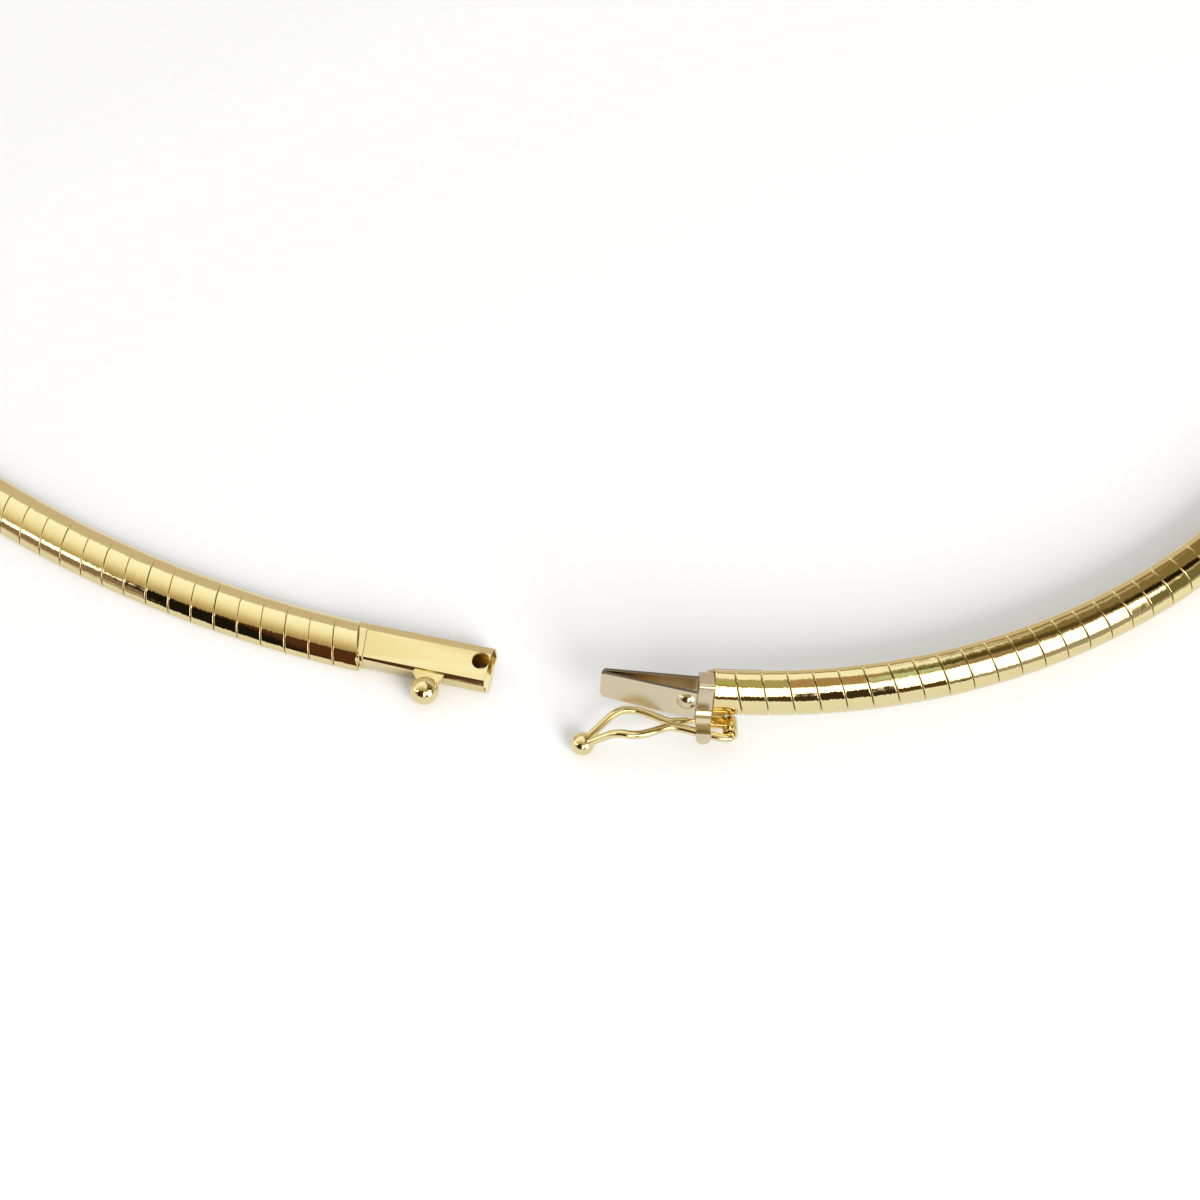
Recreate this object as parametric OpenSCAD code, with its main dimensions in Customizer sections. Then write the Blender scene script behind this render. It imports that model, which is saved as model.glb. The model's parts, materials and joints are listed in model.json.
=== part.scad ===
// Omega necklace of domed gold plates on a woven strip, lying open on a flat surface.
// The loop is drawn in plan as four arcs, and each plate is set on it at its own height and roll.
// Z is up, and the surface that the necklace lies on is z = 0.

/* [Chain] */
// Width of the chain
chain_w = 3.75; // [3.65:0.05:3.9]
// Height of the dome above the side edges
dome_h = 1.25; // [1.15:0.05:1.35]
// Radius of the dome's shoulders
side_r = 0.75; // [0.65:0.05:0.85]
// Radius of the rounded edge between the dome and the flat back
edge_r = 0.3; // [0.25:0.05:0.35]
// Thickness of the sheet that the plates are folded from
plate_wall = 0.26; // [0.2:0.02:0.28]
// Length of one plate together with the joint after it
plate_pitch = 1.88; // [1.85:0.01:2]
// Width of a joint between two plates
joint_gap = 0.17; // [0.14:0.01:0.2]
// Angle by which the joints run askew across the chain
joint_skew = 14; // [10:1:16]
// Width of the slot in the back, where the folded sheet does not meet
slot_w = 1.1; // [0.6:0.1:1.4]
// Width of the woven strip inside the plates
strip_w = 2.7; // [2.5:0.1:2.8]
// Thickness of the woven strip
strip_h = 0.25; // [0.2:0.05:0.3]

/* [Lie of the loop] */
// Radius of the stretch beside the box, in plan
left_r = 91.9; // [88:0.1:96]
// Turn of the stretch beside the box
left_turn = 22; // [16:1:26]
// Radius of the stretch beside the tongue, in plan
right_r = 55.6; // [52:0.1:58]
// Turn of the stretch beside the tongue
right_turn = 44; // [40:1:48]
// Distance between the two ends of the chain, from left to right
ends_apart = 25.9; // [25:0.1:28]
// Distance by which the tongue's end lies nearer to the front than the box's end
ends_step = 5.9; // [5:0.1:7]
// Heading of the chain where it leaves the box
box_heading = 165; // [162:0.5:168]
// Heading of the chain where it reaches the tongue
tongue_heading = -181.2; // [-183:0.1:-180]
// Roll of the chain at the box, where it lies nearly flat
box_roll = 12; // [8:1:16]
// Roll of the chain at the tongue, where it stands nearly on its edge
tongue_roll = 71; // [70:0.5:74]
// Height by which the tongue's end is lifted off the surface
lift = 2.1; // [2.1:0.05:2.6]
// Length over which the lifted end comes down to the surface
lift_run = 55; // [50:1:70]

/* [Box] */
// Length of the box from the end of the chain to its mouth
box_l = 10.15; // [9.8:0.05:10.5]
// Width of the box
box_w = 3.05; // [3:0.05:3.2]
// Height of the box
box_h = 1.75; // [1.7:0.05:1.8]
// Thickness of the box's walls
box_wall = 0.22; // [0.2:0.01:0.24]
// Turn of the box against the end of the chain
box_turn = 1.5; // [0:0.5:3]
// Diameter of the lock hole
hole_d = 1.3; // [1.25:0.05:1.4]
// Diameter of the ball that the safety catch snaps over
nub_d = 2.1; // [2:0.05:2.2]

/* [Tongue] */
// Length of the tongue from the end of the chain to its fold
tongue_l = 8.1; // [7.8:0.05:8.4]
// Width of the tongue at its root
tongue_w = 2.4; // [2.3:0.05:2.45]
// Thickness of the tongue's sheet
leaf_h = 0.24; // [0.2:0.01:0.25]
// Distance from the end of the chain to the face that the box's mouth meets
face_y = 1.15; // [1.1:0.05:1.2]

/* [Safety catch] */
// Diameter of the catch's wire
wire_d = 0.62; // [0.58:0.02:0.64]
// Diameter of the ball on the catch's tip
tip_d = 1.7; // [1.6:0.05:1.7]
// Width of the catch's ring, between the middles of its wires
ring_w = 2.8; // [2.7:0.05:2.9]
// Outer diameter of the hinge tube
tube_d = 1.12; // [1.05:0.01:1.12]
// Play of the catch's wire in the hinge tube, all round
hinge_play = 0.05; // [0.03:0.01:0.07]

/* [Hidden] */
gold = "#e3bd5c";
strip_gold = "#b8944a";
white_metal = "#c9c2b0";
$fn = 64;
degree = PI / 180;
floor_play = 0.02;
roll_law = 4;
small_gap = 0.06;

// Section of the chain: a crown arc, two shoulder arcs and two rounded edges on a flat back
half_w = chain_w / 2;
side_x = half_w - side_r;
crown_r = (side_x * side_x + dome_h * dome_h - side_r * side_r) / (2 * (dome_h - side_r));
crown_z = dome_h - crown_r;
crown_half = atan2(side_x, -crown_z);
edge_x = half_w - edge_r;

// Arcs of the loop in plan, which all turn clockwise as they leave the box
function along(h) = [cos(h), sin(h)];
function outward(h) = [-sin(h), cos(h)];
function arc_end(p, h, r, turn) = p - r * outward(h) + r * outward(h - turn);
function cross_len(a, b) = abs(a.x * b.y - a.y * b.x);
function chord_angle(t, c) = atan2(cross_len(t, c), t * c);
box_end = [0, 0];
tongue_end = [ends_apart, -ends_step];
left_stop = arc_end(box_end, box_heading, left_r, left_turn);
left_heading = box_heading - left_turn;
right_heading = tongue_heading + right_turn;
right_start = tongue_end - right_r * outward(tongue_heading) + right_r * outward(right_heading);

// The hidden stretch is a pair of arcs that leaves one end run and meets the other without a kink
span = right_start - left_stop;
both = along(left_heading) + along(right_heading);
bend = 1 - along(left_heading) * along(right_heading);
reach = (-span * both + sqrt(pow(span * both, 2) + 2 * bend * (span * span))) / (2 * bend);
meet = (left_stop + reach * along(left_heading) + right_start - reach * along(right_heading)) / 2;
far_left_half = chord_angle(along(left_heading), meet - left_stop);
far_right_half = chord_angle(along(right_heading), right_start - meet);
far_left_r = norm(meet - left_stop) / (2 * sin(far_left_half));
far_right_r = norm(right_start - meet) / (2 * sin(far_right_half));

// Columns of the runs: radius, turn
RADIUS = 0;
TURN = 1;
runs = [
    [left_r, left_turn],
    [far_left_r, 2 * far_left_half],
    [far_right_r, 2 * far_right_half],
    [right_r, right_turn]
];
function run_l(i) = runs[i][RADIUS] * runs[i][TURN] * degree;
function run_s(i) = i == 0 ? 0 : run_s(i - 1) + run_l(i - 1);
function run_h(i) = i == 0 ? box_heading : run_h(i - 1) - runs[i - 1][TURN];
function run_p(i) = i == 0
    ? box_end
    : arc_end(run_p(i - 1), run_h(i - 1), runs[i - 1][RADIUS], runs[i - 1][TURN]);
run_starts = [for (i = [0:3]) run_s(i)];
run_headings = [for (i = [0:3]) run_h(i)];
run_points = [for (i = [0:3]) run_p(i)];
chain_l = run_s(3) + run_l(3);
plates = round(chain_l / plate_pitch);
pitch = chain_l / plates;

function run_at(s) = s < run_starts[1] ? 0 : s < run_starts[2] ? 1 : s < run_starts[3] ? 2 : 3;
function turned(s, i) = (s - run_starts[i]) / runs[i][RADIUS] / degree;
function heading(s) = let (i = run_at(s)) run_headings[i] - turned(s, i);
function plan(s) = let (i = run_at(s)) arc_end(run_points[i], run_headings[i], runs[i][RADIUS], turned(s, i));
function roll(s) = box_roll + (tongue_roll - box_roll) * pow(max(0, s) / chain_l, roll_law);
function lifted(s) = lift * pow(max(0, 1 - (chain_l - s) / lift_run), 2);
function height(s) = edge_r + edge_x * sin(roll(s)) + floor_play + lifted(s);
function slope(s) = atan2(height(s + 0.5) - height(s - 0.5), 1);

// Axes of a station: across the chain, along it, and out of the dome
function out_axis(s) = let (h = heading(s), r = roll(s), o = outward(h) * sin(r)) [o.x, o.y, cos(r)];
function across_axis(s) = let (h = heading(s), r = roll(s), o = -outward(h) * cos(r)) [o.x, o.y, sin(r)];
function dome_reach(s) = let (r = roll(s))
    r > 90 - crown_half ? crown_z * sin(r) + crown_r : side_x * cos(r) + side_r;

// Shift that brings the middle of the loop's box to the origin, found from the rim and the tongue's fork
rim = [for (i = [0:plates]) let (s = i * pitch) plan(s) + dome_reach(s) * outward(heading(s))];
fork_front = 3.2;
fork_low = -2.4;
front_y = plan(chain_l).y + across_axis(chain_l).y * fork_low + out_axis(chain_l).y * fork_front;
middle = [
    (min([for (p = rim) p.x]) + max([for (p = rim) p.x])) / 2,
    (front_y + max([for (p = rim) p.y])) / 2
];

module at_station(s) {
    p = plan(s) - middle;
    translate([p.x, p.y, height(s)])
        rotate([0, 0, heading(s) - 90])
        rotate([slope(s), 0, 0])
        rotate([0, -roll(s), 0])
        children();
}

// Dome of the chain's section, drawn a wall thickness smaller for the hollow
module dome(inset, low) {
    wedge_x = crown_r * tan(crown_half);
    intersection() {
        union() {
            intersection() {
                translate([0, crown_z]) circle(r = crown_r - inset);
                polygon([[0, crown_z], [wedge_x, crown_z + crown_r], [-wedge_x, crown_z + crown_r]]);
            }
            for (side = [-1, 1]) translate([side * side_x, 0]) circle(r = side_r - inset);
        }
        translate([-chain_w, low]) square([2 * chain_w, chain_w]);
    }
}

module plate_outline() {
    dome(0, 0);
    translate([-edge_x, -edge_r]) square([2 * edge_x, edge_r]);
    for (side = [-1, 1]) translate([side * edge_x, 0]) circle(r = edge_r);
}

// Cube between two joints, or from one joint past the end of the chain
module between_joints(from_y, to_y) {
    rotate([0, 0, joint_skew])
        translate([-chain_w, from_y * cos(joint_skew), -chain_w / 2])
        cube([2 * chain_w, (to_y - from_y) * cos(joint_skew), chain_w]);
}

// The last plate ends square, against the clasp
module plate(last) {
    half_l = (pitch - joint_gap) / 2;
    end_y = last ? pitch / 2 : pitch;
    intersection() {
        translate([0, end_y, 0]) rotate([90, 0, 0]) linear_extrude(pitch + end_y) difference() {
            plate_outline();
            dome(plate_wall, plate_wall - edge_r);
            translate([-slot_w / 2, -1]) square([slot_w, 1 + edge_r]);
        }
        between_joints(-half_l, last ? chain_w : half_l);
    }
}

module chain_plates() {
    color(gold)
    for (i = [0:plates - 1]) at_station((i + 0.5) * pitch) plate(i == plates - 1);
}

// The strip runs inside every plate, with a ring of four corners at every second joint
strip_z = plate_wall - edge_r + small_gap;
strip_steps = floor(plates / 2);
strip_end = 0.4;
function strip_s(k) = strip_end + (chain_l - 2 * strip_end) * k / strip_steps;
strip_corners = [[-1, 0], [1, 0], [1, 1], [-1, 1]];
strip_points = [
    for (k = [0:strip_steps], c = strip_corners)
        let (s = strip_s(k), p = plan(s) - middle, a = across_axis(s), o = out_axis(s))
        [p.x, p.y, height(s)] + a * c.x * strip_w / 2 + o * (strip_z + c.y * strip_h)
];
strip_last = 4 * strip_steps;
strip_faces = [
    [0, 1, 2],
    [0, 2, 3],
    [strip_last + 3, strip_last + 2, strip_last + 1],
    [strip_last + 3, strip_last + 1, strip_last],
    for (k = [0:4:strip_last - 4], c = [0:3]) let (n = (c + 1) % 4) each [
        [k + c, k + 4 + c, k + 4 + n],
        [k + c, k + 4 + n, k + n]
    ]
];

module woven_strip() {
    color(strip_gold)
    polyhedron(strip_points, strip_faces, convexity = 10);
}

// Box: a bevelled tube closed towards the chain, with a ball nub on its narrow side
box_x = box_w / 2;
box_floor = -edge_r;
box_top = box_h - edge_r;
near_bevel = 0.33;
far_bevel_x = 0.6;
far_bevel_z = 0.35;
low_bevel = 0.15;
cap_h = 0.4;
mouth_step = 0.2;
hole_in = 0.83;
hole_x = 0.29;
hole_y = box_l - hole_in;
nub_x = -box_x - 1.2;
nub_y = 5.8;
nub_z = 1.15;
flare_h = 0.8;

module box_outline(inset) {
    x = box_x - inset;
    low = box_floor + inset;
    high = box_top - inset;
    cut = inset / 2;
    b = inset == 0 ? low_bevel : 0;
    polygon([
        [-x + b, low], [x - b, low], [x, low + b], [x, high - far_bevel_z + cut],
        [x - far_bevel_x + cut, high], [-x + near_bevel - cut, high],
        [-x, high - near_bevel + cut], [-x, low + b]
    ]);
}

// Web that carries the ball nub, with hollow flanks, seen from above the box
module nub_web() {
    flank_r = 1;
    neck = 0.62;
    difference() {
        translate([nub_x, -neck - flank_r]) square([-nub_x - box_x + box_wall / 2, 2 * (neck + flank_r)]);
        for (side = [-1, 1]) translate([nub_x + 0.15, side * (neck + flank_r)]) circle(r = flank_r);
        for (side = [-1, 1]) translate([nub_x - 1, side * (neck + flank_r) - flank_r])
            square([1.15, 2 * flank_r]);
    }
}

module clasp_box() {
    color(gold)
    at_station(0) {
        intersection() {
            translate([0, cap_h + 0.2, 0]) rotate([90, 0, 0]) linear_extrude(2 * cap_h + 0.2) plate_outline();
            between_joints(-chain_w, -joint_gap / 2);
        }
        rotate([0, 0, box_turn]) difference() {
            union() {
                translate([0, -cap_h / 2, 0]) rotate([90, 0, 0])
                    linear_extrude(box_l - cap_h / 2) box_outline(0);
                translate([nub_x, -nub_y, nub_z]) sphere(d = nub_d);
                translate([0, -nub_y, box_top - flare_h]) linear_extrude(flare_h) nub_web();
                translate([-1.05, -cap_h / 2, 1.2]) sphere(r = 0.3);
                translate([0.85, -cap_h / 2, 1.2]) sphere(r = 0.26);
            }
            translate([0, -2 * cap_h, 0]) rotate([90, 0, 0]) linear_extrude(box_l) box_outline(box_wall);
            translate([-box_w, -box_l - 1, box_floor + box_wall])
                cube([box_w + box_x - box_wall, 1 + mouth_step, box_h]);
            translate([hole_x, -hole_y, box_top - box_wall - 0.2]) cylinder(d = hole_d, h = 1);
        }
    }
}

// Tongue: an end plate with a fork under it, and a sheet folded into a V with a boss on its free leaf
plate_x = 1.6;
fold_w = 2.1;
fold_r = 0.2;
fold_y = tongue_l - fold_r - leaf_h / 2;
fold_z = -0.22;
back_root = [1, 0.05];
free_end = [face_y + 0.25, 1.75];
tail_bend = [-0.1, -0.52];
tail_end = [-3.5, -0.68];
tail_w = 3.1;
boss_d = 1.22;
boss_x = 0.28;
boss_y = face_y + hole_in;
bridge_high = -1.45;
bridge_low = -1.9;
prong_h = 0.42;
fork_back = -0.85;

// Bar of the sheet between two points, seen from its edge
module bar(a, b) {
    d = b - a;
    translate(a) rotate(atan2(d.y, d.x)) translate([0, -leaf_h / 2]) square([norm(d), leaf_h]);
    translate(a) circle(d = leaf_h);
    translate(b) circle(d = leaf_h);
}

module from_edge(w) {
    rotate([90, 0, 90]) linear_extrude(w, center = true) children();
}

fold_front = [fold_y, fold_z + fold_r];
fold_back = [fold_y, fold_z - fold_r];
free_tilt = atan2(fold_front.y - free_end.y, fold_front.x - free_end.x);

// Both leaves of the sheet grow narrower towards the fold
module leaf() {
    intersection() {
        from_edge(chain_w) children();
        translate([0, 0, -3]) linear_extrude(6) polygon([
            [-fold_w / 2, tongue_l + 0.1], [-tongue_w / 2, 0.9],
            [tongue_w / 2, 0.9], [fold_w / 2, tongue_l + 0.1]
        ]);
    }
}

module end_plate() {
    translate([0, face_y, 0]) rotate([90, 0, 0]) linear_extrude(face_y - small_gap) {
        translate([-plate_x + edge_r, -edge_r]) square([2 * (plate_x - edge_r), box_h]);
        translate([-plate_x, 0]) square([2 * plate_x, box_h - 2 * edge_r]);
        for (x = [-1, 1], z = [0, box_h - 2 * edge_r])
            translate([x * (plate_x - edge_r), z]) circle(r = edge_r);
    }
}

// Bridge across the clasp's thickness with a round-ended prong at each end, around the catch's wires
module fork() {
    prong_r = (face_y - small_gap) / 2;
    translate([bridge_low, small_gap, fork_back])
        cube([bridge_high - bridge_low, 2 * prong_r, fork_front - fork_back]);
    for (z = [fork_back, fork_front - prong_h])
        translate([0, small_gap + prong_r, z]) linear_extrude(prong_h) {
            translate([fork_low + prong_r, 0]) circle(r = prong_r);
            translate([fork_low + prong_r, -prong_r])
                square([bridge_high - fork_low - prong_r, 2 * prong_r]);
        }
}

module spring_tongue() {
    color(white_metal)
    at_station(chain_l) {
        end_plate();
        fork();
        leaf() bar(free_end, fold_front);
        leaf() bar(fold_back, back_root);
        leaf() translate([fold_y, fold_z]) difference() {
            circle(r = fold_r + leaf_h / 2);
            circle(r = fold_r - leaf_h / 2);
            translate([-1, -1]) square([1, 2]);
        }
        from_edge(tail_w) {
            bar([0.5, -0.25], tail_bend);
            bar(tail_bend, tail_end);
        }
        translate([boss_x, boss_y, free_end.y + (boss_y - free_end.x) * tan(free_tilt)])
            rotate([free_tilt, 0, 0]) cylinder(d = boss_d, h = leaf_h / 2 + 0.22);
    }
}

// Hinge tube under the last plate, across the clasp's thickness, with the web that reaches the fork
pivot_x = -2.5;
pivot_y = -1.47;
pivot_z = 0.95;
tube_l = 1.7;
bore_r = wire_d / 2 + hinge_play;

module hinge_tube() {
    color(gold)
    at_station(chain_l) difference() {
        union() {
            translate([pivot_x, pivot_y, pivot_z - tube_l / 2]) cylinder(d = tube_d, h = tube_l);
            translate([pivot_x + 0.15, pivot_y + 0.3, pivot_z - 0.5]) cube([0.4, -pivot_y - 0.3, 1]);
        }
        translate([pivot_x, pivot_y, pivot_z - tube_l]) cylinder(r = bore_r, h = 2 * tube_l);
    }
}

// Catch: two wires that part, are soldered at the waist, part again round the nub and meet in the tip ball
tip_y = 9.04;
waist_y = 2.9;
waist_gap = 0.9 * wire_d;
bend_y = 6.15;
bend_run = 1.2;
bend_slope = 0.975;
rise = 0.025;
lean = 0.045;
hinge_gap = tube_l + wire_d + 0.14;
catch_steps = 33;
ring_sides = 8;

function bent(d) = bend_slope * (d <= 0 ? 0 : d < bend_run ? d * d / (2 * bend_run) : d - bend_run / 2);
function wire_x(y) = pivot_x + rise * (y - pivot_y) - bent(y - bend_y);
function wire_z(y) = pivot_z + lean * (y - pivot_y);
function loop_gap(u) = (hinge_gap - waist_gap) * pow(1 - u * u, 2);
function ring_gap(u) = (ring_w - waist_gap) * pow(sin(180 * pow(u, 0.87)), 1.6);
function gap(y) = waist_gap + (y < waist_y
    ? loop_gap((y - pivot_y) / (waist_y - pivot_y))
    : ring_gap((y - waist_y) / (tip_y - waist_y)));

function wire_point(q, side) = let (y = pivot_y + (tip_y - pivot_y) * q / catch_steps)
    [wire_x(y), y, wire_z(y) + side * gap(y) / 2];
function unit(v) = v / norm(v);
function wire_along(q, side) =
    unit(wire_point(min(q + 1, catch_steps), side) - wire_point(max(q - 1, 0), side));
function wire_ring(q, side) =
    let (t = wire_along(q, side), a = unit(cross([0, 0, 1], t)), b = cross(t, a))
    [for (j = [0:ring_sides - 1])
        wire_point(q, side) + wire_d / 2 * (cos(j * 360 / ring_sides) * a + sin(j * 360 / ring_sides) * b)];

module wire(side) {
    rings = [for (q = [0:catch_steps]) each wire_ring(q, side)];
    polyhedron(rings, [
        [for (j = [0:ring_sides - 1]) j],
        [for (j = [ring_sides - 1:-1:0]) catch_steps * ring_sides + j],
        for (q = [0:catch_steps - 1], j = [0:ring_sides - 1]) let (n = (j + 1) % ring_sides) each [
            [q * ring_sides + j, (q + 1) * ring_sides + j, (q + 1) * ring_sides + n],
            [q * ring_sides + j, (q + 1) * ring_sides + n, q * ring_sides + n]
        ]
    ], convexity = 10);
}

module safety_catch() {
    pin_l = 0.75;
    elbow_d = wire_d + 0.06;
    color(gold)
    at_station(chain_l) {
        for (side = [-1, 1]) wire(side);
        translate([wire_x(tip_y), tip_y, wire_z(tip_y)]) sphere(d = tip_d);
        translate([pivot_x, pivot_y, pivot_z]) for (side = [-1, 1]) {
            translate([0, 0, side * hinge_gap / 2]) sphere(d = elbow_d);
            translate([0, 0, side < 0 ? -hinge_gap / 2 : tube_l / 2 - pin_l])
                cylinder(d = wire_d, h = (hinge_gap - tube_l) / 2 + pin_l);
        }
    }
}

chain_plates();
woven_strip();
clasp_box();
spring_tongue();
hinge_tube();
safety_catch();
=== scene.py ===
"""Looks of the omega necklace: fine plates, strip, box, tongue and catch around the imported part."""

import json
import math
import random

import bmesh
import bpy
from mathutils import Matrix, Vector


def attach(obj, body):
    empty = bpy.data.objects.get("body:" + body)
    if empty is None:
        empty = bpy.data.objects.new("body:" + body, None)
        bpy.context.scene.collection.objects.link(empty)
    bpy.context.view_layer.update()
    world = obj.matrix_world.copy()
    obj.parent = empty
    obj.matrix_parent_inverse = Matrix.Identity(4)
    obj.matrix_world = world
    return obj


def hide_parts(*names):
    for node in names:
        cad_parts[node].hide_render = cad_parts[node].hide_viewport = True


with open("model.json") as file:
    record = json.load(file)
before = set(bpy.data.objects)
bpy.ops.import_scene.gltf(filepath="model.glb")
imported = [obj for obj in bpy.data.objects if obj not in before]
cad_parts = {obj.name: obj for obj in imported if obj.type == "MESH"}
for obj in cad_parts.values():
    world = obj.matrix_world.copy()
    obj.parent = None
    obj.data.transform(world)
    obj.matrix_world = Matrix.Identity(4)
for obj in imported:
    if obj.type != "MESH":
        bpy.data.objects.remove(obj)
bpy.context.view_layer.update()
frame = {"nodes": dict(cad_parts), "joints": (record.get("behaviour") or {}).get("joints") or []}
random.seed(11)

MM = 0.001
NECKLACE = "necklace"
CATCH = "catch"

# Sizes of the chain's section and plates, in millimetres
CHAIN_W = 3.75
DOME_H = 1.25
SIDE_R = 0.75
EDGE_R = 0.3
PLATE_WALL = 0.26
PLATE_PITCH = 1.88
SLOT_W = 1.1
SKEW = math.radians(14)
JOINT_GAP = 0.02
LIP_R = 0.055
STRIP_W = 2.7
STRIP_H = 0.25
STRIP_Z = 0.02
STRIP_SHORT = 0.4

# Scatter of the plates: rock across and along the chain in degrees, and lift in millimetres
ROCK_ACROSS = 0.35
ROCK_ALONG = 0.3
SCATTER_LIFT = 0.006

# Lie of the loop, in millimetres and degrees
LEFT_R = 91.9
LEFT_TURN = math.radians(22)
RIGHT_R = 55.6
RIGHT_TURN = math.radians(44)
BOX_HEADING = math.radians(165)
TONGUE_HEADING = math.radians(-181.2)
ENDS_APART = 25.9
ENDS_STEP = 5.9
BOX_ROLL = math.radians(12)
TONGUE_ROLL = math.radians(71)
ROLL_LAW = 4
LIFT = 2.1
LIFT_RUN = 55
FLOOR_PLAY = 0.02

# Safety catch, in the frame of the chain's end: across, along and out, in millimetres
PIVOT = Vector((-2.5, -1.47, 0.95))
TUBE_L = 1.7
TIP_Y = 9.04
TIP_D = 1.7
WAIST_Y = 2.9
WIRE_D = 0.62
ELBOW_R = 0.22
PIN_L = 0.7
WAIST_GAP = 0.56
HINGE_GAP = 2.46
RING_W = 2.8
RING_LEAN = 0.87
RING_POINT = 1.6
BEND_Y = 6.15
BEND_RUN = 1.2
BEND_SLOPE = 0.975
RISE = 0.025
LEAN = 0.045

# Tongue, in the same frame; a pair is a place seen from the sheet's edge: along and out
LEAF_H = 0.27
LEAF_START = 0.9
LEAF_ROOT_W = 2.4
LEAF_FOLD_W = 2.1
TONGUE_L = 8.1
FACE_Y = 1.15
SMALL_GAP = 0.06
FOLD_R = 0.2
FOLD_CORNER = 0.35
FOLD = Vector((TONGUE_L - FOLD_R - LEAF_H / 2, -0.22))
FREE_END = Vector((FACE_Y + 0.12, 1.79))
BACK_ROOT = Vector((1, 0.05))
TAIL = [Vector((0.5, -0.25)), Vector((-0.1, -0.52)), Vector((-3.5, -0.68))]
TAIL_W = 3.1
PLATE_X = 1.6
PLATE_TOP = 1.45
TONGUE_ROUND = 0.04
BOSS_X = 0.28
BOSS_Y = FACE_Y + 0.83
BOSS_R = 0.7
BOSS_RISE = 0.32
BOSS_ROUND = 2.4
BRIDGE = (-1.9, -1.45)
FORK_LOW = -2.4
FORK_Z = (-0.85, 3.2)
PRONG_H = 0.42
FORK_FILLET = 0.9
FORK_INSET = 0.03

# Box: its turn against the chain's end, its section, and the nub's web, which narrows past WEB_STILL
BOX_TURN = math.radians(1.5)
BOX_W = 3.05
BOX_TOP = 1.45
NEAR_BEVEL = 0.33
FAR_BEVEL_X = 0.6
FAR_BEVEL_Z = 0.35
LOW_BEVEL = 0.15
NUB_Y = 5.8
WEB_LOW = 0.6
WEB_INNER_X = -1.4
WEB_STILL = 1.06
WEB_REACH = 1.8
WEB_SHRINK = 0.1

# Band round the box's end: where it starts and stops, how far it stands out, and its rounding
COLLAR_START = 0.12
COLLAR_STOP = 0.66
COLLAR_OUT = 0.04
COLLAR_ROUND = 0.12


# Loop in plan

def along(h):
    return Vector((math.cos(h), math.sin(h)))


def outward(h):
    return Vector((-math.sin(h), math.cos(h)))


def arc_end(p, h, r, turn):
    return p - r * outward(h) + r * outward(h - turn)


def hidden_arcs(start, start_heading, end, end_heading):
    """Radius and turn of the two arcs that join one end run to the other without a kink."""
    span = end - start
    both = along(start_heading) + along(end_heading)
    bend = 1 - along(start_heading).dot(along(end_heading))
    lean = span.dot(both)
    reach = (math.sqrt(lean ** 2 + 2 * bend * span.dot(span)) - lean) / (2 * bend)
    meet = (start + reach * along(start_heading) + end - reach * along(end_heading)) / 2
    arcs = []
    for chord, tangent in ((meet - start, along(start_heading)), (end - meet, along(end_heading))):
        half = chord.angle(tangent)
        arcs.append((chord.length / (2 * math.sin(half)), 2 * half))
    return arcs


def loop_runs():
    """The four arcs as start length, start heading, start point, radius and turn."""
    box_end = Vector((0, 0))
    tongue_end = Vector((ENDS_APART, -ENDS_STEP))
    left_stop = arc_end(box_end, BOX_HEADING, LEFT_R, LEFT_TURN)
    right_heading = TONGUE_HEADING + RIGHT_TURN
    right_start = tongue_end - RIGHT_R * outward(TONGUE_HEADING) + RIGHT_R * outward(right_heading)
    arcs = [(LEFT_R, LEFT_TURN)]
    arcs += hidden_arcs(left_stop, BOX_HEADING - LEFT_TURN, right_start, right_heading)
    arcs.append((RIGHT_R, RIGHT_TURN))
    runs = []
    length, heading, point = 0, BOX_HEADING, box_end
    for r, turn in arcs:
        runs.append((length, heading, point, r, turn))
        point = arc_end(point, heading, r, turn)
        heading -= turn
        length += r * turn
    return runs, length


RUNS, CHAIN_L = loop_runs()
PLATES = round(CHAIN_L / PLATE_PITCH)
PITCH = CHAIN_L / PLATES


def plan_at(s):
    """Point and heading of the loop at a length from the box."""
    length, heading, point, r, turn = [run for run in RUNS if run[0] <= max(s, 0)][-1]
    turned = (s - length) / r
    return arc_end(point, heading, r, turned), heading - turned


def roll_at(s):
    return BOX_ROLL + (TONGUE_ROLL - BOX_ROLL) * (max(s, 0) / CHAIN_L) ** ROLL_LAW


def height_at(s):
    lifted = LIFT * max(0, 1 - (CHAIN_L - s) / LIFT_RUN) ** 2
    return EDGE_R + (CHAIN_W / 2 - EDGE_R) * math.sin(roll_at(s)) + FLOOR_PLAY + lifted


def loose_station(s):
    """Frame across, along and out of the chain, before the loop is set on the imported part."""
    point, heading = plan_at(s)
    slope = math.atan2(height_at(s + 0.5) - height_at(s - 0.5), 1)
    return (Matrix.Translation((point.x, point.y, height_at(s)))
            @ Matrix.Rotation(heading - math.pi / 2, 4, "Z")
            @ Matrix.Rotation(slope, 4, "X")
            @ Matrix.Rotation(-roll_at(s), 4, "Y"))


HINGE = Vector(frame["joints"][0]["pos_m"]) / MM
SHIFT = Matrix.Translation(HINGE - loose_station(CHAIN_L) @ PIVOT)


def station(s):
    return SHIFT @ loose_station(s)


# Mesh helpers

def add_object(name, data):
    made = bpy.data.objects.new(name, data)
    bpy.context.scene.collection.objects.link(made)
    return made


def new_piece(name, points, faces, material, body, node, smooth=True):
    """Piece of the part from points in millimetres."""
    mesh = bpy.data.meshes.new(name)
    mesh.from_pydata([tuple(Vector(p) * MM) for p in points], [], faces)
    mesh.polygons.foreach_set("use_smooth", [smooth] * len(faces))
    mesh.materials.append(material)
    piece = add_object(name, mesh)
    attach(piece, body)
    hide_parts(node)
    return piece


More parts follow.
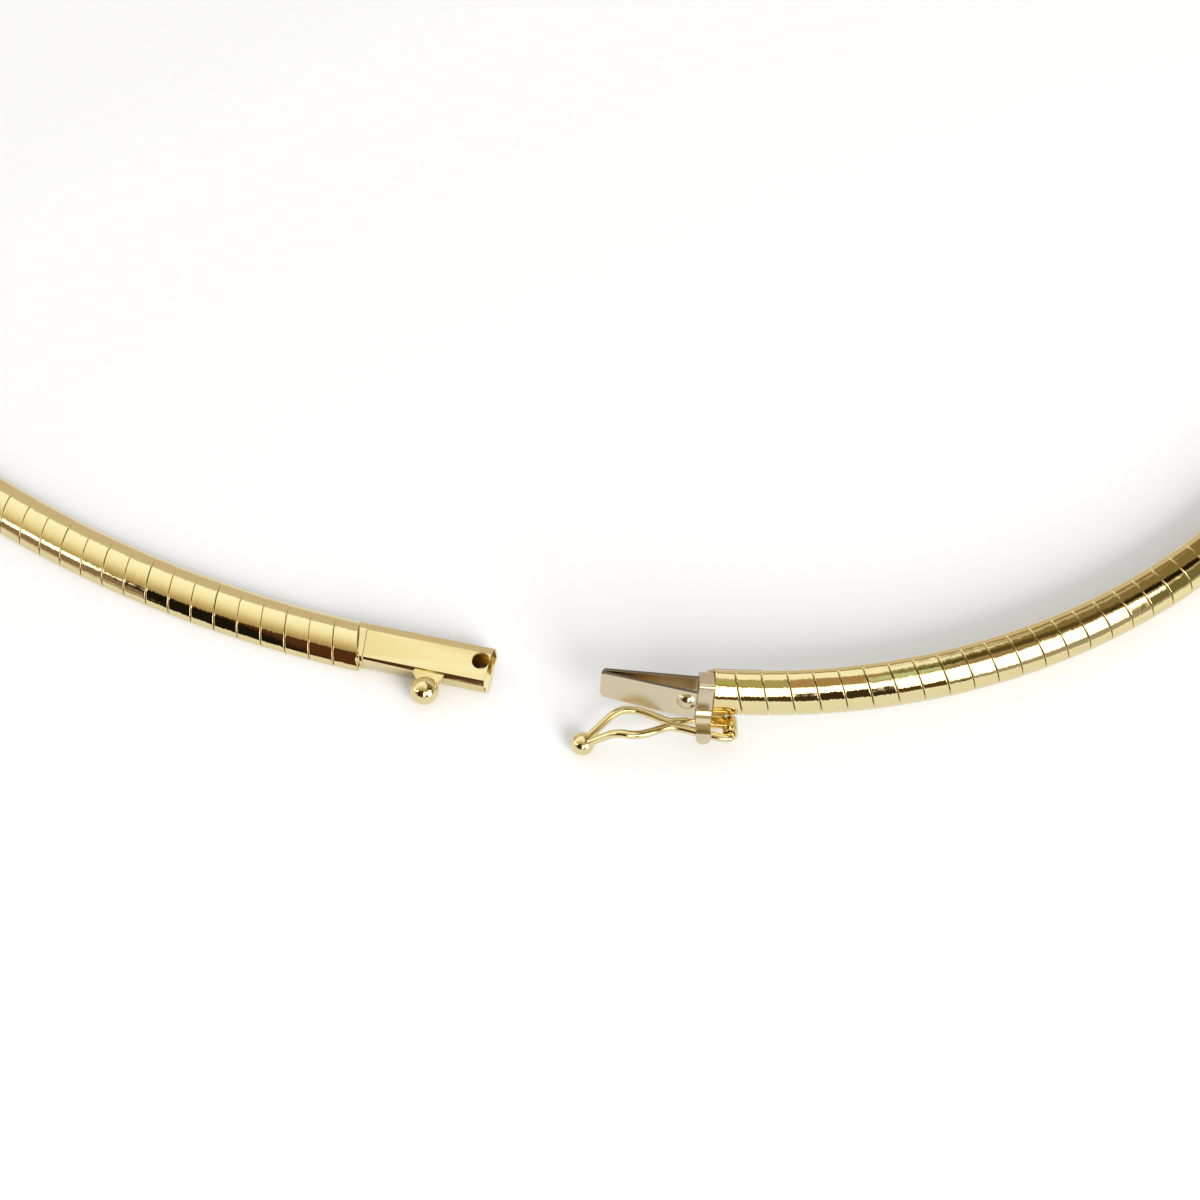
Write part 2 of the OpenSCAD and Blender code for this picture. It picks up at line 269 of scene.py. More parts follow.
def set_uv(piece, places):
    """Gives each vertex its place along and across the chain, in millimetres."""
    layer = piece.data.uv_layers.new(name="lie")
    for loop in piece.data.loops:
        layer.data[loop.index].uv = places[loop.vertex_index]


# Plates of the chain

def arc(cx, cz, r, start, end, steps):
    angles = [math.radians(start + (end - start) * k / steps) for k in range(steps + 1)]
    return [(cx + r * math.cos(a), cz + r * math.sin(a)) for a in angles]


# Arcs of the dome: middle of the side arc, radius and middle of the crown, and where they meet
SIDE_X = CHAIN_W / 2 - SIDE_R
CROWN_R = (SIDE_X ** 2 + DOME_H ** 2 - SIDE_R ** 2) / (2 * (DOME_H - SIDE_R))
CROWN_Z = DOME_H - CROWN_R
SHOULDER = math.degrees(math.atan2(-CROWN_Z, SIDE_X))


def outer_section(inset):
    """Outline from one edge of the slot round the dome to the other, set in from the surface."""
    half = [(SLOT_W / 2, inset - EDGE_R)]
    half += arc(CHAIN_W / 2 - EDGE_R, 0, EDGE_R - inset, -90, 0, 5)
    half += arc(SIDE_X, 0, SIDE_R - inset, 0, SHOULDER, 7)[1:]
    half += arc(0, CROWN_Z, CROWN_R - inset, SHOULDER, 90, 11)[1:]
    return half + [(-x, z) for x, z in reversed(half[:-1])]


def inner_section():
    """Outline of the plate's inside, from one edge of the slot to the other."""
    half = [(SLOT_W / 2, PLATE_WALL - EDGE_R)]
    half += arc(SIDE_X, 0, SIDE_R - PLATE_WALL, -4, SHOULDER, 4)
    half += arc(0, CROWN_Z, CROWN_R - PLATE_WALL, SHOULDER, 90, 5)[1:]
    return half + [(-x, z) for x, z in reversed(half[:-1])]


# Rows of a plate's rounded end: distance from the end, and how far the surface is set in
LIP_ROWS = [(LIP_R * (1 - math.sin(math.radians(a))), LIP_R * (1 - math.cos(math.radians(a))))
            for a in (90, 60, 30, 0)] + [(1.8 * LIP_R, 0)]


def arc_lengths(outline):
    lengths = [0]
    for a, b in zip(outline, outline[1:]):
        lengths.append(lengths[-1] + math.dist(a, b))
    return lengths


def add_plate(index, points, faces, places):
    """One plate with its slot, its wall and rounded lips, a little out of line with its neighbours."""
    last = index == PLATES - 1
    half_l = (PITCH - JOINT_GAP) / 2
    wobble = Matrix.Rotation(math.radians(random.gauss(0, ROCK_ACROSS)), 4, "Y")
    wobble @= Matrix.Rotation(math.radians(random.gauss(0, ROCK_ALONG)), 4, "X")
    wobble @= Matrix.Translation((0, 0, random.gauss(0, SCATTER_LIFT)))
    place = station((index + 0.5) * PITCH) @ wobble
    lengths = arc_lengths(outer_section(0))

    def put(x, y, z, across):
        points.append(place @ Vector((x, y, z)))
        places.append(((index + 0.5) * PITCH + y, across + 12 * (index % 7)))
        return len(points) - 1

    def row_of(outline, near_end, distance):
        ids = []
        for k, (x, z) in enumerate(outline):
            lean = x * math.tan(SKEW)
            if near_end:
                y = -half_l + distance + lean
            elif last:
                y = PITCH / 2 - distance
            else:
                y = half_l - distance + lean
            across = lengths[k] if len(outline) == len(lengths) else 0
            ids.append(put(x, y, z, across))
        return ids

    rows = [row_of(outer_section(inset), True, distance) for distance, inset in LIP_ROWS]
    rows += [row_of(outer_section(inset), False, distance) for distance, inset in reversed(LIP_ROWS)]
    near_wall = row_of(inner_section(), True, 0)
    far_wall = row_of(inner_section(), False, 0)
    for a, b in list(zip(rows, rows[1:])) + [(far_wall, near_wall)]:
        faces.extend([a[k], a[k + 1], b[k + 1], b[k]] for k in range(len(a) - 1))
    faces.append(list(reversed(rows[0])) + near_wall)
    faces.append(rows[-1] + list(reversed(far_wall)))
    for side in (0, -1):
        edge = [row[side] for row in rows] + [far_wall[side], near_wall[side]]
        faces.append(edge if side == 0 else edge[::-1])


def chain_piece(name, first, stop, material):
    points, faces, places = [], [], []
    for index in range(first, stop):
        add_plate(index, points, faces, places)
    piece = new_piece(name, points, faces, material, NECKLACE, "chain_plates")
    set_uv(piece, places)


def strip_piece(material):
    """Woven strip through all the plates, with its place along and across for the weave."""
    steps = 2 * PLATES
    half_w = STRIP_W / 2
    corners = [(-half_w, 0), (half_w, 0), (half_w, STRIP_H), (-half_w, STRIP_H)]
    points, faces, places = [], [], []
    for k in range(steps + 1):
        s = STRIP_SHORT + (CHAIN_L - 2 * STRIP_SHORT) * k / steps
        place = station(s)
        for x, z in corners:
            points.append(place @ Vector((x, 0, STRIP_Z + z)))
            places.append((s, x + 5 * z))
    for k in range(0, 4 * steps, 4):
        faces.extend([k + c, k + 4 + c, k + 4 + (c + 1) % 4, k + (c + 1) % 4] for c in range(4))
    faces.append([0, 1, 2, 3])
    faces.append([4 * steps + c for c in (3, 2, 1, 0)])
    piece = new_piece("strip_weave", points, faces, material, NECKLACE, "woven_strip",
                      smooth=False)
    set_uv(piece, places)


# Safety catch

def wire_place(y, side):
    """Middle of a wire at a distance along the catch: -1 is the back wire, 1 the front one."""
    over = y - BEND_Y
    bent = 0 if over <= 0 else over ** 2 / (2 * BEND_RUN) if over < BEND_RUN else over - BEND_RUN / 2
    if y < WAIST_Y:
        u = (y - PIVOT.y) / (WAIST_Y - PIVOT.y)
        gap = WAIST_GAP + (HINGE_GAP - WAIST_GAP) * (1 - u * u) ** 2
    else:
        u = (y - WAIST_Y) / (TIP_Y - WAIST_Y)
        gap = WAIST_GAP + (RING_W - WAIST_GAP) * max(0, math.sin(math.pi * u ** RING_LEAN)) ** RING_POINT
    return Vector((PIVOT.x + RISE * (y - PIVOT.y) - BEND_SLOPE * bent, y,
                   PIVOT.z + LEAN * (y - PIVOT.y) + side * gap / 2))


def lace(first, second, sides, faces):
    """Faces between two rings of points, each given by the number of its first point."""
    for j in range(sides):
        n = (j + 1) % sides
        faces.append([first + j, first + n, second + n, second + j])


def tube_along(path, r, points, faces, sides=20):
    """Round bar along a path, with a domed cap at both ends."""
    rings = []
    for k, p in enumerate(path):
        ahead = path[min(k + 1, len(path) - 1)] - path[max(k - 1, 0)]
        rings.append((p, ahead.normalized(), r))
    start, stop = rings[0], rings[-1]
    caps = [(math.sin(math.radians(a)), math.cos(math.radians(a))) for a in (30, 60, 84)]
    rings = [(start[0] - start[1] * r * h, start[1], r * w) for h, w in reversed(caps)] + rings
    rings += [(stop[0] + stop[1] * r * h, stop[1], r * w) for h, w in caps]
    base = len(points)
    across = rings[0][1].orthogonal().normalized()
    for centre, ahead, radius in rings:
        across = (across - across.dot(ahead) * ahead).normalized()
        up = ahead.cross(across)
        for j in range(sides):
            a = 2 * math.pi * j / sides
            points.append(centre + radius * (math.cos(a) * across + math.sin(a) * up))
    for q in range(len(rings) - 1):
        lace(base + q * sides, base + (q + 1) * sides, sides, faces)
    faces.append([base + j for j in reversed(range(sides))])
    faces.append([base + (len(rings) - 1) * sides + j for j in range(sides)])


def ball(centre, r, points, faces, sides=40, rows=24):
    base = len(points)
    for i in range(1, rows):
        a = math.pi * i / rows
        ring_r, level = math.sin(a), math.cos(a)
        for j in range(sides):
            b = 2 * math.pi * j / sides
            points.append(centre + r * Vector((ring_r * math.cos(b), ring_r * math.sin(b), level)))
    top, bottom = len(points), len(points) + 1
    points.extend([centre + Vector((0, 0, r)), centre - Vector((0, 0, r))])
    for i in range(rows - 2):
        for j in range(sides):
            n = (j + 1) % sides
            a, b = base + i * sides, base + (i + 1) * sides
            faces.append([a + j, b + j, b + n, a + n])
    for j in range(sides):
        n = (j + 1) % sides
        faces.append([top, base + j, base + n])
        faces.append([bottom, base + (rows - 2) * sides + n, base + (rows - 2) * sides + j])


def catch_piece(material):
    """Each wire runs from inside the tube, round its elbow and along the catch to the tip ball."""
    points, faces = [], []
    for side in (-1, 1):
        pin_z = PIVOT.z + side * (TUBE_L / 2 - PIN_L)
        elbow_z = PIVOT.z + side * HINGE_GAP / 2
        elbow_start = elbow_z - side * ELBOW_R
        path = [Vector((PIVOT.x, PIVOT.y, pin_z + (elbow_start - pin_z) * k / 6)) for k in range(6)]
        for k in range(7):
            a = math.pi / 2 * k / 6
            path.append(Vector((PIVOT.x, PIVOT.y + ELBOW_R * (1 - math.cos(a)),
                                elbow_start + side * ELBOW_R * math.sin(a))))
        steps = 90
        start = PIVOT.y + ELBOW_R + 0.05
        stop = TIP_Y - 0.25
        path += [wire_place(start + (stop - start) * k / steps, side) for k in range(steps + 1)]
        tube_along(path, WIRE_D / 2, points, faces)
    tip = wire_place(TIP_Y, 0)
    ball(tip, TIP_D / 2, points, faces)
    place = station(CHAIN_L)
    new_piece("catch_wires", [place @ p for p in points], faces, material, CATCH, "safety_catch")


# Tongue

def leaf_half(y):
    """Half of the leaves' width, which shrinks towards the fold and is rounded off at its corners."""
    taper = (y - LEAF_START) / (TONGUE_L - LEAF_START)
    straight = LEAF_ROOT_W / 2 + (LEAF_FOLD_W - LEAF_ROOT_W) / 2 * taper
    past = min(max(0, y - (TONGUE_L - FOLD_CORNER)), FOLD_CORNER)
    return straight - FOLD_CORNER + math.sqrt(FOLD_CORNER ** 2 - past ** 2)


def leaf_path():
    """Middle of the sheet from the free end round the fold to the root, without a kink at the fold."""
    free_tilt = math.atan2(FREE_END.y - FOLD.y - FOLD_R, FOLD.x - FREE_END.x)
    back_tilt = math.atan2(BACK_ROOT.y - FOLD.y + FOLD_R, FOLD.x - BACK_ROOT.x)
    start, stop = math.pi / 2 - free_tilt, -math.pi / 2 - back_tilt
    turns = [start + (stop - start) * k / 14 for k in range(15)]
    fold = [FOLD + FOLD_R * Vector((math.cos(a), math.sin(a))) for a in turns]
    front = [FREE_END.lerp(fold[0], t) for t in (0, 0.25, 0.5, 0.75, 0.94)]
    back = [fold[-1].lerp(BACK_ROOT, t) for t in (0.06, 0.25, 0.5, 0.75, 1)]
    return front + fold + back


def ribbon(path, half_width, points, faces):
    """Sheet of the leaves' thickness along a path; returns the faces on its cut edges."""
    base = len(points)
    for k, p in enumerate(path):
        ahead = (path[min(k + 1, len(path) - 1)] - path[max(k - 1, 0)]).normalized()
        out = Vector((-ahead.y, ahead.x)) * LEAF_H / 2
        for place, side in ((p + out, -1), (p + out, 1), (p - out, 1), (p - out, -1)):
            points.append(Vector((side * half_width(place.x), place.x, place.y)))
    last = base + 4 * (len(path) - 1)
    cut = []
    for k in range(base, last, 4):
        for c in range(4):
            if c in (1, 3):
                cut.append(len(faces))
            n = (c + 1) % 4
            faces.append([k + c, k + n, k + 4 + n, k + 4 + c])
    cut += [len(faces), len(faces) + 1]
    faces.append([base, base + 1, base + 2, base + 3])
    faces.append([last + 3, last + 2, last + 1, last])
    return cut


def prism(outline, low, high, lay, points, faces):
    """Closed solid of an outline between two levels; lay makes a place of outline and level."""
    base, count = len(points), len(outline)
    points.extend(Vector(lay(u, v, level)) for level in (low, high) for u, v in outline)
    faces.append([base + k for k in reversed(range(count))])
    faces.append([base + count + k for k in range(count)])
    for k in range(count):
        n = (k + 1) % count
        faces.append([base + k, base + n, base + count + n, base + count + k])


def boss(points, faces, sides=48, rows=10):
    """Low dome pressed out of the free leaf."""
    lie = (FOLD + Vector((0, FOLD_R)) - FREE_END).normalized()
    out = Vector((-lie.y, lie.x))
    middle = FREE_END + lie * (BOSS_Y - FREE_END.x) / lie.x
    rings = [(BOSS_R, -LEAF_H / 2)]
    for i in range(rows, 0, -1):
        share = math.sin(math.pi / 2 * i / rows)
        rings.append((BOSS_R * share, LEAF_H / 2 + BOSS_RISE * (1 - share ** BOSS_ROUND)))
    base = len(points)
    for r, h in rings:
        for j in range(sides):
            a = 2 * math.pi * j / sides
            place = middle + lie * r * math.sin(a) + out * h
            points.append(Vector((BOSS_X + r * math.cos(a), place.x, place.y)))
    crown = middle + out * (LEAF_H / 2 + BOSS_RISE)
    points.append(Vector((BOSS_X, crown.x, crown.y)))
    faces.append([base + j for j in range(sides)])
    for q in range(len(rings) - 1):
        lace(base + q * sides, base + (q + 1) * sides, sides, faces)
    top = base + (len(rings) - 1) * sides
    faces.extend([top + j, top + (j + 1) % sides, len(points) - 1] for j in range(sides))


def round_edges(piece, width):
    """Rounds every edge sharper than a gentle curve, and keeps the flats flat."""
    bevel = piece.modifiers.new("rounding", "BEVEL")
    bevel.width = width * MM
    bevel.segments = 3
    bevel.limit_method = "ANGLE"
    bevel.angle_limit = math.radians(28)
    bevel.harden_normals = True
    bevel.miter_outer = "MITER_ARC"


def face_outwards(piece):
    bm = bmesh.new()
    bm.from_mesh(piece.data)
    bmesh.ops.recalc_face_normals(bm, faces=bm.faces)
    bm.to_mesh(piece.data)
    bm.free()


def rounded_outline(half_w, low, high, r):
    """Rectangle with rounded corners."""
    corners = [(half_w - r, low + r, -90), (half_w - r, high - r, 0),
               (r - half_w, high - r, 90), (r - half_w, low + r, 180)]
    return [p for x, z, start in corners for p in arc(x, z, r, start, start + 90, 5)]


def crosswise(x, z, y):
    return x, y, z


def upright(x, y, z):
    return x, y, z


def end_plate(points, faces):
    outline = rounded_outline(PLATE_X, -EDGE_R, PLATE_TOP, EDGE_R)
    prism(outline, SMALL_GAP, FACE_Y, crosswise, points, faces)


def fork(points, faces):
    """Bridge under the end plate, the fillet between the two, and the two prongs round the wires."""
    inset = FORK_INSET
    left, right = BRIDGE
    near, far = SMALL_GAP + inset, FACE_Y - inset
    bridge = [(left, near), (right, near), (right, far), (left, far)]
    prism(bridge, FORK_Z[0] + inset, FORK_Z[1] - inset, upright, points, faces)
    fillet_x, fillet_z = right + FORK_FILLET, PLATE_TOP + FORK_FILLET
    fillet = [(right - inset, PLATE_TOP - inset), (fillet_x, PLATE_TOP - inset)]
    fillet += arc(fillet_x, fillet_z, FORK_FILLET, 270, 180, 12) + [(right - inset, fillet_z)]
    prism(fillet, SMALL_GAP, FACE_Y, crosswise, points, faces)
    prong_r = (FACE_Y - SMALL_GAP) / 2
    prong = arc(FORK_LOW + prong_r, SMALL_GAP + prong_r, prong_r, 90, 270, 14)
    prong += [(right, SMALL_GAP), (right, FACE_Y)]
    for z in (FORK_Z[0], FORK_Z[1] - PRONG_H):
        prism(prong, z, z + PRONG_H, upright, points, faces)


def tongue_piece(metal, edge_painted_shade_metal):
    """Folded sheet with its boss and tail, the end plate, and the fork round the catch's wires."""
    points, faces = [], []
    cut = ribbon(leaf_path(), leaf_half, points, faces)
    ribbon([TAIL[0], TAIL[1], TAIL[1].lerp(TAIL[2], 0.1), TAIL[2]], lambda y: TAIL_W / 2, points, faces)
    boss(points, faces)
    end_plate(points, faces)
    fork(points, faces)
    place = station(CHAIN_L)
    piece = new_piece("tongue_sheet", [place @ p for p in points], faces, metal,
                      NECKLACE, "spring_tongue")
    # The sheet's cut edges take the dark second metal: painted shade on edges of the same white metal
    piece.data.materials.append(edge_painted_shade_metal)
    for index in cut:
        piece.data.polygons[index].material_index = 1
    face_outwards(piece)
    round_edges(piece, TONGUE_ROUND)


# Box and tube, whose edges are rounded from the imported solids, and the band on the box

def rounded_copy(name, node, width, material):
    """The node's own faces, made whole again and with their edges rounded."""
    source = frame["nodes"][node]
    mesh = source.data.copy()
    mesh.name = name
    mesh.transform(source.matrix_world)
    bm = bmesh.new()
    bm.from_mesh(mesh)
    bmesh.ops.remove_doubles(bm, verts=bm.verts, dist=1e-6)
    bmesh.ops.dissolve_limit(bm, angle_limit=math.radians(0.5), verts=bm.verts, edges=bm.edges)
    bm.to_mesh(mesh)
    bm.free()
    mesh.polygons.foreach_set("use_smooth", [True] * len(mesh.polygons))
    mesh.materials.clear()
    mesh.materials.append(material)
    piece = add_object(name, mesh)
    round_edges(piece, width)
    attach(piece, NECKLACE)
    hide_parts(node)
    return piece


def slim_web(piece):
    """Draws the flanks of the ball nub's web together, as they are in the photo."""
    into_box = (station(0) @ Matrix.Rotation(BOX_TURN, 4, "Z")).inverted()
    out_of_box = into_box.inverted()
    for vertex in piece.data.vertices:
        place = into_box @ (vertex.co / MM)
        off = place.y + NUB_Y
        if place.x < WEB_INNER_X and place.z > WEB_LOW and WEB_STILL < abs(off) < WEB_REACH:
            drawn = WEB_STILL + WEB_SHRINK * (abs(off) - WEB_STILL)
            place.y = math.copysign(drawn, off) - NUB_Y
            vertex.co = (out_of_box @ place) * MM


def box_outline(out):
    """Section of the box with its bevels, set out from its surface."""
    x, low, top = BOX_W / 2 + out, -EDGE_R, BOX_TOP + out
    return [(LOW_BEVEL - x, low), (x - LOW_BEVEL, low), (x, low + LOW_BEVEL), (x, top - FAR_BEVEL_Z),
            (x - FAR_BEVEL_X, top), (NEAR_BEVEL - x, top), (-x, top - NEAR_BEVEL), (-x, low + LOW_BEVEL)]


def collar_piece(metal):
    """Raised band round the box's end on the chain, which starts along the last joint."""
    points, faces = [], []

    def lay(x, z, share):
        start = x * math.tan(SKEW) - COLLAR_START
        stop = x * math.tan(SKEW / 2) - COLLAR_STOP
        return x, start + (stop - start) * share, z

    prism(box_outline(COLLAR_OUT), 0, 1, lay, points, faces)
    place = station(0)
    piece = new_piece("box_collar", [place @ p for p in points], faces, metal,
                      NECKLACE, "clasp_box")
    face_outwards(piece)
    round_edges(piece, COLLAR_ROUND)


# Materials

def shader(name, colour, metallic, roughness):
    material = bpy.data.materials.new(name)
    material.use_nodes = True
    surface = material.node_tree.nodes["Principled BSDF"]
    surface.inputs["Base Color"].default_value = (*colour, 1)
    surface.inputs["Metallic"].default_value = metallic
    surface.inputs["Roughness"].default_value = roughness
    return material, material.node_tree, surface


def link(tree, a, out, b, into):
    tree.links.new(a.outputs[out], b.inputs[into])


def noise(tree, coords, out, scale, detail, stretch=(1, 1, 1)):
    """Noise in the given coordinates, squeezed along each of them."""
    mapping = tree.nodes.new("ShaderNodeMapping")
    mapping.inputs["Scale"].default_value = stretch
    texture = tree.nodes.new("ShaderNodeTexNoise")
    texture.inputs["Scale"].default_value = scale
    texture.inputs["Detail"].default_value = detail
    link(tree, coords, out, mapping, "Vector")
    link(tree, mapping, "Vector", texture, "Vector")
    return texture


def bump(tree, height, out, distance, before=None):
    node = tree.nodes.new("ShaderNodeBump")
    node.inputs["Strength"].default_value = 1
    node.inputs["Distance"].default_value = distance
    link(tree, height, out, node, "Height")
    if before:
        link(tree, before, "Normal", node, "Normal")
    return node


def shade_range(tree, source, out, low, high):
    node = tree.nodes.new("ShaderNodeMapRange")
    node.inputs["From Min"].default_value = 0.3
    node.inputs["From Max"].default_value = 0.7
    node.inputs["To Min"].default_value = low
    node.inputs["To Max"].default_value = high
    link(tree, source, out, node, "Value")
    return node


def tinted(tree, source, out, dark, light):
    node = tree.nodes.new("ShaderNodeMix")
    node.data_type = "RGBA"
    node.inputs["A"].default_value = (*dark, 1)
    node.inputs["B"].default_value = (*light, 1)
    link(tree, source, out, node, "Factor")
    return node


GOLD = (0.86, 0.71, 0.37)
GOLD_DEEP = (0.83, 0.67, 0.33)
WHITE_METAL = (0.75, 0.63, 0.43)
WHITE_DEEP = (0.66, 0.54, 0.35)
# Dark metal for the tongue sheet's cut edges: painted shade, since the edges are the same white metal as
# the leaves
EDGE_PAINTED_SHADE = (0.26, 0.21, 0.15)
EDGE_PAINTED_SHADE_DEEP = (0.15, 0.12, 0.08)

# Grain of the plates: lines in a millimetre along the chain, and how far each rocks the surface
GRAIN_LINES = 8
GRAIN_ROCK = 0.06


def vector_math(tree, operation, a, b, c=None):
    node = tree.nodes.new("ShaderNodeVectorMath")
    node.operation = operation
    for socket, value in zip(node.inputs, (a, b, c)):
        if value:
            tree.links.new(value, socket)
    return node.outputs["Vector"]


def cross_grain(tree, lie):
    """Normal that rocks a little across the chain from line to line, as drawn sheet does."""
    shape = tree.nodes.new("ShaderNodeNewGeometry")
    tangent = tree.nodes.new("ShaderNodeTangent")
    tangent.direction_type = "UV_MAP"
    tangent.uv_map = "lie"
    across = vector_math(tree, "CROSS_PRODUCT", shape.outputs["Normal"], tangent.outputs["Tangent"])
    grain = noise(tree, lie, "UV", 1, 2, (GRAIN_LINES, 0.4, 1))
    rock = tree.nodes.new("ShaderNodeMapRange")
    rock.inputs["To Min"].default_value = -GRAIN_ROCK
    rock.inputs["To Max"].default_value = GRAIN_ROCK
    link(tree, grain, "Fac", rock, "Value")
    return vector_math(tree, "MULTIPLY_ADD", across, rock.outputs["Result"], shape.outputs["Normal"])


def plate_gold():
    """Polished gold with drawing lines across the chain and a faint wave, placed along the chain."""
    material, tree, surface = shader("plate_gold", GOLD, 1, 0.07)
    lie = tree.nodes.new("ShaderNodeUVMap")
    lie.uv_map = "lie"
    lines = noise(tree, lie, "UV", 1, 3, (14, 0.9, 1))
    wave = noise(tree, lie, "UV", 0.9, 1)
    wave_bump = bump(tree, wave, "Fac", 0.000012)
    tree.links.new(cross_grain(tree, lie), wave_bump.inputs["Normal"])
    line_bump = bump(tree, lines, "Fac", 0.0000012, wave_bump)
    link(tree, line_bump, "Normal", surface, "Normal")
    patches = noise(tree, lie, "UV", 0.5, 3)
    link(tree, shade_range(tree, patches, "Fac", 0.03, 0.07), "Result", surface, "Roughness")
    link(tree, tinted(tree, patches, "Fac", GOLD_DEEP, GOLD), "Result", surface, "Base Color")
    return material


def worked_metal(name, dark, light, rough_low, rough_high, wave_height, grain_height):
    """Metal of the clasp, placed by the object's own millimetres, with handling marks."""
    material, tree, surface = shader(name, light, 1, rough_low)
    place = tree.nodes.new("ShaderNodeTexCoord")
    wave = noise(tree, place, "Object", 700, 1)
    grain = noise(tree, place, "Object", 9000, 3, (0.12, 1, 1))
    wave_bump = bump(tree, wave, "Fac", wave_height)
    grain_bump = bump(tree, grain, "Fac", grain_height, wave_bump)
    link(tree, grain_bump, "Normal", surface, "Normal")
    patches = noise(tree, place, "Object", 400, 4)
    link(tree, shade_range(tree, patches, "Fac", rough_low, rough_high), "Result", surface, "Roughness")
    link(tree, tinted(tree, patches, "Fac", dark, light), "Result", surface, "Base Color")
    return material


def weave_gold_painted_shade():
    """Fine weave of the strip, in lines along and across it, in gold painted darker than the plates' as
    painted shade between the plates, with light and dark squares as painted light and shade on the weave.
    """
    material, tree, surface = shader("weave_gold_painted_shade", (0.5, 0.36, 0.14), 1, 0.35)
    lie = tree.nodes.new("ShaderNodeUVMap")
    lie.uv_map = "lie"
    # Light and dark squares of gold darker than the plates': painted light and shade on the weave, and
    # painted shade between the plates
    weave = tree.nodes.new("ShaderNodeTexChecker")
    weave.inputs["Scale"].default_value = 5
    weave.inputs["Color1"].default_value = (0.62, 0.45, 0.19, 1)
    weave.inputs["Color2"].default_value = (0.36, 0.25, 0.09, 1)
    link(tree, lie, "UV", weave, "Vector")
    link(tree, weave, "Color", surface, "Base Color")
    fibres = noise(tree, lie, "UV", 12, 2)
    link(tree, bump(tree, fibres, "Fac", 0.00002), "Normal", surface, "Normal")
    link(tree, shade_range(tree, fibres, "Fac", 0.3, 0.5), "Result", surface, "Roughness")
    return material


# Room around the necklace

def math_node(tree, operation, a, b=0.0, clamp=False):
    node = tree.nodes.new("ShaderNodeMath")
    node.operation = operation
    node.use_clamp = clamp
    for slot_index, value in enumerate((a, b)):
        if isinstance(value, (int, float)):
            node.inputs[slot_index].default_value = value
        else:
            tree.links.new(value, node.inputs[slot_index])
    return node.outputs[0]


def smooth_mask(tree, value, low, high):
    node = tree.nodes.new("ShaderNodeMapRange")
    node.interpolation_type = "SMOOTHSTEP"
    node.inputs["From Min"].default_value = low
    node.inputs["From Max"].default_value = high
    tree.links.new(value, node.inputs["Value"])
    return node.outputs["Result"]


def mixed(tree, factor, a, b):
    node = tree.nodes.new("ShaderNodeMix")
    node.data_type = "RGBA"
    tree.links.new(factor, node.inputs["Factor"])
    for name, value in (("A", a), ("B", b)):
        if isinstance(value, tuple):
            node.inputs[name].default_value = (*value, 1)
        else:
            tree.links.new(value, node.inputs[name])
    return node.outputs["Result"]


# Walls and ceiling from the front horizon over the zenith to the back one: degrees, colour
ROOM_STOPS = [
    (0, (0.8, 0.78, 0.72)),
    (7, (0.7, 0.62, 0.5)),
    (30, (0.42, 0.34, 0.25)),
    (58, (0.46, 0.38, 0.24)),
    (66, (0.56, 0.48, 0.32)),
    (78, (0.76, 0.68, 0.5)),
    (90, (0.95, 0.93, 0.8)),
    (104, (1.1, 1.14, 1.08)),
    (122, (1.16, 1.27, 1.33)),
    (135, (1.16, 1.28, 1.36)),
    (138, (0.68, 0.63, 0.57)),
    (180, (0.66, 0.6, 0.55)),
]

